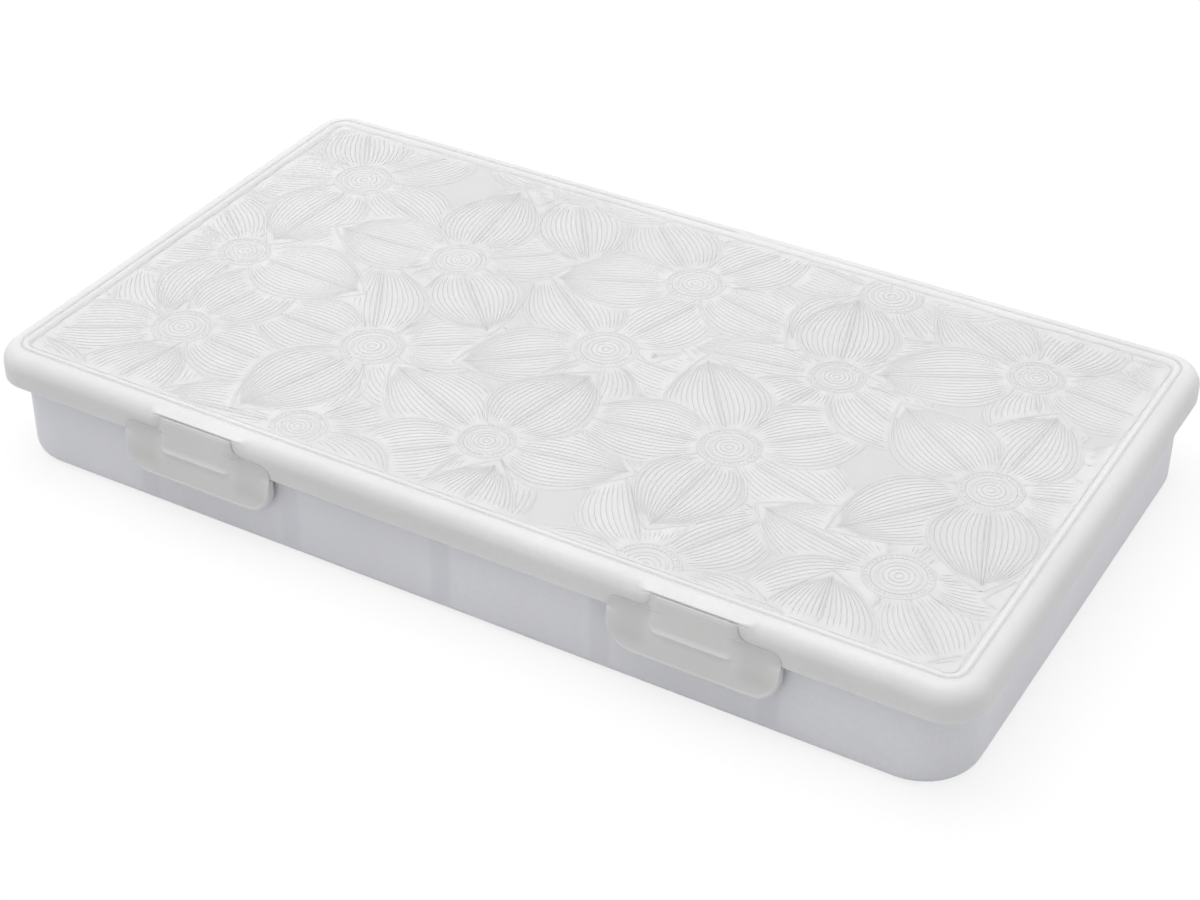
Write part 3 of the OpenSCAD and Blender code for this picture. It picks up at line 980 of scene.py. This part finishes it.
class THREADBOX_OT_dividers(bpy.types.Operator):
    """Finishes the five dividers, which keep their frame shapes with softened edges"""
    bl_idname = "threadbox.dividers"
    bl_label = "Dividers"

    def execute(self, context):
        finish = context.scene.thread_box.finish
        plastic = milky_plastic("milky_divider", finish.divider_colour, finish)
        for name in DIVIDERS:
            plate = frame["nodes"][name]
            edge = plate.modifiers.new("soft_edges", "BEVEL")
            edge.width = 0.2 * MM
            edge.segments = 2
            edge.limit_method = "ANGLE"
            plate.data.materials.clear()
            plate.data.materials.append(plastic)
        return {"FINISHED"}


class THREADBOX_OT_latches(bpy.types.Operator):
    """Builds both latch flaps: a finger tab with a flange, a neck with a ridge, and a hook"""
    bl_idname = "threadbox.latches"
    bl_label = "Latch flaps"

    def execute(self, context):
        settings = context.scene.thread_box
        finish = settings.finish
        # The latches' material is a darker copy of the lid's plastic, with a painted shade on the flanks
        plastic = milky_plastic("milky_latch_painted_shade", finish.painted_shade_for_latches, finish, painted_shade_on_flanks, finish.painted_flank_lightness,
                                spread=0.15)
        for side, name in ((-1, "latch_left"), (1, "latch_right")):
            middle = side * FILM_HINGE[0]
            piece = united(name + "_flap", self.flap(settings, middle), [self.hook(settings, middle)])
            dress(piece, name, "latch", plastic, name)
        return {"FINISHED"}

    def half_width(self, sizes, z):
        """Half the flap's width at a height: round corners below, round shoulders and hollow curves
        above."""
        low, half, corner = FLAP_LOW.z, FLAP_HALF, sizes.tab_corner
        drop = np.maximum(0, low + corner - z)
        lower = half - corner + np.sqrt(np.maximum(0, corner ** 2 - drop ** 2))
        radius, neck = sizes.tab_shoulder, sizes.neck_width / 2
        above = z - low - sizes.tab_height
        shoulder = half - radius + np.sqrt(np.maximum(0, radius ** 2 - np.maximum(0, above + radius) ** 2))
        hollow = neck + radius - np.sqrt(np.maximum(0, radius ** 2 - np.maximum(0, radius - above) ** 2))
        return np.where(above > 0, hollow, np.minimum(lower, shoulder))

    def to_edge(self, sizes, x, z):
        """Distance from a place to the tab's side, its round corners or its lower edge."""
        low, half, corner = FLAP_LOW.z, FLAP_HALF, sizes.tab_corner
        in_x = np.maximum(0, np.abs(x) - (half - corner))
        in_z = np.maximum(0, low + corner - z)
        plain = np.minimum(half - np.abs(x), z - low)
        return np.where((in_x > 0) & (in_z > 0), corner - np.hypot(in_x, in_z), plain)

    def thickness(self, sizes, x, z):
        """Thickness of the flap: thin against the skirt at its shoulders, full at the tab, with a ramp
        down the neck to the ridge, a bead along the tab's edge, and rounded edges."""
        low = FLAP_LOW.z
        full, thin = sizes.tab_thickness, 0.05 * MM
        skirt_foot, flank_ramp, side_ramp, neck_ramp = 9.6 * MM, 8 * MM, 4 * MM, 9.9 * MM
        above = z - low - sizes.ridge_height
        shoulder = low + sizes.tab_height
        side = self.to_edge(sizes, x, z)
        over_skirt = smooth_step((z - low - skirt_foot) / (1.6 * MM))
        flank = thin + (full - thin) * smooth_step((shoulder - z) / flank_ramp)
        beside = thin + (flank - thin) * smooth_step(side / side_ramp)
        flank = flank + (beside - flank) * over_skirt
        up = np.clip(above / neck_ramp, 0, 1)
        neck = full * (0.95 - 0.5 * up - 0.28 * smooth_step((up - 0.85) / 0.15))
        on_neck = smooth_step((sizes.neck_width / 2 + 0.4 * MM - np.abs(x)) / (2.6 * MM))
        out = flank + (neck - flank) * on_neck * smooth_step(above / (0.6 * MM) + 0.5)
        flare = np.where(above > 0, 0.75 * MM, 0.3 * MM)
        on_ridge = smooth_step((sizes.neck_width / 2 - 0.4 * MM - np.abs(x)) / (1.6 * MM))
        out = out + sizes.ridge_step * np.exp(-(above / flare) ** 2) * on_ridge
        fade = smooth_step((8 * MM - (z - low)) / (3 * MM))
        out = out + sizes.bead * np.exp(-((side - 0.65 * MM) / (0.3 * MM)) ** 2) * fade
        fillet = 0.3 * MM
        inward = np.clip(fillet - side, 0, fillet) * (1 - over_skirt)
        drop = fillet - np.sqrt(fillet ** 2 - inward ** 2)
        return np.maximum(out - drop, thin)

    def flange(self, sizes, skirt, x, z):
        """How far the flap's inner side turns inward round the tab's edge, below the skirt's edge."""
        edge = self.to_edge(sizes, x, z)
        below = smooth_step((skirt - 0.3 * MM - z) / (0.3 * MM))
        turned = (FLAP_HIGH.y - FILM_HINGE[1]) * smooth_step((sizes.flange - edge) / (0.35 * MM) + 0.5)
        beside = smooth_step((np.abs(x) - sizes.neck_width / 2 - 0.5 * MM) / (1 * MM))
        close = (-HALF_WIDTH - 0.03 * MM - FILM_HINGE[1]) * smooth_step((z - skirt) / (0.3 * MM)) * beside
        return turned * below + close

    def flap(self, settings, middle):
        """The flap as one fine grid, whose rows follow its outline up to the neck."""
        sizes = settings.latch
        low, top = FLAP_LOW.z, FILM_HINGE[2] - sizes.crease
        bend = np.linspace(0, math.pi / 2, 26)
        shoulder = low + sizes.tab_height
        curve = sizes.tab_shoulder * np.cos(np.linspace(math.pi / 2, 0, 14))
        rows = np.concatenate([low + sizes.tab_corner * (1 - np.cos(bend)),
                               np.arange(low + sizes.tab_corner + FLAP_ROW, shoulder - 3.05 * MM, FLAP_ROW),
                               shoulder - sizes.tab_shoulder + curve,
                               shoulder + 0.03 * MM + sizes.tab_shoulder - curve[::-1],
                               np.arange(shoulder + 3.25 * MM, top, FLAP_ROW), [top]])
        across = np.linspace(-1, 1, 131)
        across = across * (1 + 0.35 * (1 - across ** 2))
        x = np.outer(self.half_width(sizes, rows), across)
        z = np.repeat(rows[:, None], len(across), axis=1)
        front = FILM_HINGE[1] - self.thickness(sizes, x, z)
        back = FILM_HINGE[1] + self.flange(sizes, LID_HIGH.z - settings.lid.skirt, x, z)
        count_z, count_x = x.shape
        points = np.concatenate([np.column_stack([(middle + x).ravel(), y.ravel(), z.ravel()])
                                 for y in (front, back)])
        shift = x.size
        faces = grid_faces(count_x, count_z) + grid_faces(count_x, count_z, shift)
        border = grid_border(count_x, count_z)
        faces += [(a, b, b + shift, a + shift) for a, b in zip(border, border[1:] + border[:1])]
        return mesh_of("flap", points, faces)

    def hook(self, settings, middle):
        """The hook inside the flap."""
        root, tip = FILM_HINGE[1] - 0.3 * MM, FLAP_HIGH.y
        low = hook_foot(settings.latch)
        high = low + HOOK_HEIGHT
        half = settings.tray.catch_width / 2
        return bar([(root, low - 1 * MM), (tip, low), (tip, high), (root, high)],
                   middle - half, middle + half, 0.12 * MM)


class THREADBOX_OT_stage(bpy.types.Operator):
    """Sets the floor, the soft light and the camera"""
    bl_idname = "threadbox.stage"
    bl_label = "Stage"

    def execute(self, context):
        stage = context.scene.thread_box.stage
        self.floor(stage)
        self.light(context.scene, stage)
        self.camera(context.scene, stage)
        context.scene.view_settings.view_transform = "Standard"
        return {"FINISHED"}

    def floor(self, stage):
        """A pale floor that the camera sees as white, apart from the box's soft shadow."""
        half = stage.floor_size / 2
        mesh = mesh_of("floor", [(-half, -half, 0), (half, -half, 0), (half, half, 0), (-half, half, 0)],
                       [(0, 1, 2, 3)])
        floor = new_object("floor", mesh)
        material = bpy.data.materials.new("pale_floor")
        sheet = NodeSheet(material)
        seen = self.seen(sheet)
        pale, dim = tinted(stage.floor_colour), tinted(stage.floor_colour, stage.bounce)
        white_glow, glow_share = 1.03, 0.75
        diffuse = sheet.add("ShaderNodeBsdfDiffuse", Color=sheet.mixed(seen, dim, pale))
        glow = sheet.add("ShaderNodeEmission", Color=(1.0, 1.0, 1.0, 1.0), Strength=white_glow)
        mix = sheet.add("ShaderNodeMixShader")
        sheet.put(mix.inputs[0], sheet.maths("MULTIPLY", seen, glow_share))
        sheet.put(mix.inputs[1], diffuse.outputs[0])
        sheet.put(mix.inputs[2], glow.outputs[0])
        output = sheet.add("ShaderNodeOutputMaterial")
        sheet.put(output.inputs["Surface"], mix.outputs[0])
        mesh.materials.append(material)

    def seen(self, sheet):
        """One where the camera sees, also in a reflection or through glass."""
        path = sheet.add("ShaderNodeLightPath")
        both = sheet.maths("MAXIMUM", path.outputs["Is Camera Ray"], path.outputs["Is Glossy Ray"])
        return sheet.maths("MAXIMUM", both, path.outputs["Is Transmission Ray"])

    def light(self, scene, stage):
        """Even light from all round, and one large soft lamp overhead."""
        world = bpy.data.worlds.new("studio")
        scene.world = world
        sheet = NodeSheet(world)
        strength = sheet.scaled(self.seen(sheet), 0.0, 1.0, stage.sky, 1.0)
        sky = sheet.add("ShaderNodeBackground", Color=(1.0, 1.0, 1.0, 1.0), Strength=strength)
        output = sheet.add("ShaderNodeOutputWorld")
        sheet.put(output.inputs["Surface"], sky.outputs[0])
        lamp = bpy.data.lights.new("soft_lamp", "AREA")
        lamp.energy = stage.lamp_power
        lamp.size = stage.lamp_size
        place = bpy.data.objects.new("soft_lamp", lamp)
        place.location = LAMP_PLACE
        place.rotation_mode = "QUATERNION"
        place.rotation_quaternion = Vector(place.location).to_track_quat("Z", "Y")
        scene.collection.objects.link(place)

    def camera(self, scene, stage):
        """The photograph's view."""
        c, s = math.cos(stage.pitch), math.sin(stage.pitch)
        ahead = Vector((math.sin(stage.yaw) * c, math.cos(stage.yaw) * c, -s))
        level = Vector((math.cos(stage.yaw), -math.sin(stage.yaw), 0))
        upward = level.cross(ahead)
        c, s = math.cos(stage.roll), math.sin(stage.roll)
        right = c * level + s * upward
        up = c * upward - s * level
        turn = Matrix((right, up, -ahead)).transposed().to_4x4()
        lens = bpy.data.cameras.new("camera")
        lens.lens = stage.focal_length
        camera = bpy.data.objects.new("camera", lens)
        camera.matrix_world = Matrix.Translation((stage.camera_x, stage.camera_y, stage.camera_z)) @ turn
        scene.collection.objects.link(camera)
        scene.camera = camera


class THREADBOX_PT_panel(bpy.types.Panel):
    """Lists the sizes, the colours and the steps that build the box"""
    bl_idname = "THREADBOX_PT_panel"
    bl_label = "Thread box"
    bl_space_type = "VIEW_3D"
    bl_region_type = "UI"
    bl_category = "Thread Box"

    def draw(self, context):
        settings = context.scene.thread_box
        for group in (settings.lid, settings.tray, settings.latch, settings.emboss, settings.finish,
                      settings.stage):
            column = self.layout.box().column(align=True)
            for name in group.bl_rna.properties.keys():
                if name not in ("rna_type", "name"):
                    column.prop(group, name)
        for operator in OPERATORS:
            self.layout.operator(operator.bl_idname)


OPERATORS = (THREADBOX_OT_stage, THREADBOX_OT_tray, THREADBOX_OT_dividers, THREADBOX_OT_lid,
             THREADBOX_OT_emboss, THREADBOX_OT_latches)
GROUPS = (ThreadBoxLidSizes, ThreadBoxTraySizes, ThreadBoxLatchSizes, ThreadBoxEmbossSizes, ThreadBoxFinish,
          ThreadBoxStage, ThreadBoxSettings)


def register():
    for group in GROUPS + OPERATORS + (THREADBOX_PT_panel,):
        bpy.utils.register_class(group)
    bpy.types.Scene.thread_box = bpy.props.PointerProperty(type=ThreadBoxSettings)


def unregister():
    del bpy.types.Scene.thread_box
    for group in reversed(GROUPS + OPERATORS + (THREADBOX_PT_panel,)):
        bpy.utils.unregister_class(group)


def main():
    """Builds everything."""
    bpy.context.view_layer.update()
    register()
    bpy.ops.threadbox.stage()
    bpy.ops.threadbox.tray()
    bpy.ops.threadbox.dividers()
    bpy.ops.threadbox.lid()
    bpy.ops.threadbox.emboss()
    bpy.ops.threadbox.latches()


if __name__ == "__main__":
    main()
